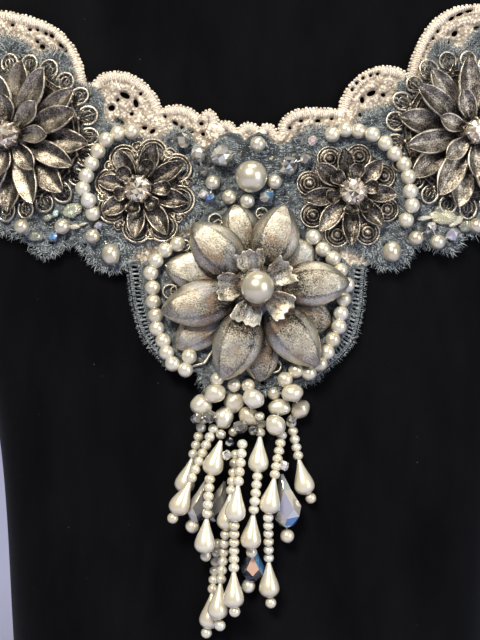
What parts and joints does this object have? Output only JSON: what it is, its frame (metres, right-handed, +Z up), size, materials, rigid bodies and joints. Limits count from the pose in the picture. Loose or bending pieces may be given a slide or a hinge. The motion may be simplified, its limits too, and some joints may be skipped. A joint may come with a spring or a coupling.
{
  "type": "lace choker on a neck bust",
  "caption": "Lace choker of ivory and blue-grey lace with silver flowers, pearls and a tassel of pearl strands, shown on a plain black velvet neck bust.",
  "frame": {"origin": "on the floor, at the middle of the bust's flat foot from side to side and under its neck", "axes": "+Z up, the wearer's front towards -Y, the wearer's left towards +X"},
  "size_m": [0.1949, 0.1237, 0.29],
  "materials": {
    "velvet": "black velvet",
    "ivory_thread": "embroidered cotton lace",
    "blue_thread": "brushed yarn lace",
    "satin_silver": "satin silver with fine brushing",
    "dark_silver": "antiqued silver, bright on its edges",
    "pearl": "ivory pearl coating",
    "crystal": "cut glass with a half-mirrored coat"
  },
  "bodies": {
    "root": {"neck_bust": "velvet", "ivory_lace": "ivory_thread", "blue_lace_left": "blue_thread", "blue_lace_right": "blue_thread", "blue_panel": "blue_thread", "side_lace_left": "ivory_thread", "side_lace_right": "ivory_thread", "clasp": "satin_silver", "large_flower_left": "dark_silver", "large_flower_right": "dark_silver", "stone_large_left": "crystal", "stone_large_right": "crystal", "small_flower_left": "dark_silver", "small_flower_right": "dark_silver", "stone_small_left": "crystal", "stone_small_right": "crystal", "centre_flower": "satin_silver", "centre_pearl": "pearl", "top_pearl": "pearl", "pearl_string_left": "pearl", "pearl_string_right": "pearl", "panel_pearls_left": "pearl", "panel_pearls_right": "pearl", "top_beads_lower": "pearl", "top_beads_upper": "pearl", "edge_beads_left": "pearl", "edge_beads_right": "pearl", "strand_4_drop_1": "crystal", "strand_5_drop_1": "crystal", "strand_9_drop_1": "crystal", "strand_12_drop_1": "crystal", "strand_6_seeds_1": "pearl", "strand_6_drop_1": "pearl", "strand_6_seeds_2": "pearl", "strand_6_drop_2": "pearl", "strand_7_seeds_1": "pearl", "strand_7_drop_1": "pearl", "strand_2_seeds_1": "pearl", "strand_2_drop_1": "pearl", "strand_1_seeds_1": "pearl", "strand_1_drop_1": "pearl", "strand_13_seeds_1": "pearl", "strand_13_drop_1": "pearl", "strand_3_drop_1": "pearl", "strand_3_seeds_2": "pearl", "strand_3_drop_2": "pearl", "strand_8_seeds_1": "pearl", "strand_8_drop_1": "pearl", "strand_8_seeds_2": "pearl", "strand_8_drop_2": "pearl", "strand_11_seeds_1": "pearl", "strand_11_drop_1": "pearl", "strand_11_seeds_2": "pearl", "strand_11_drop_2": "pearl", "strand_10_seeds_1": "pearl", "strand_10_drop_1": "pearl", "strand_10_seeds_2": "pearl", "strand_10_drop_2": "pearl", "cluster_left": "pearl", "cluster_right": "pearl"}
  },
  "joints": []
}
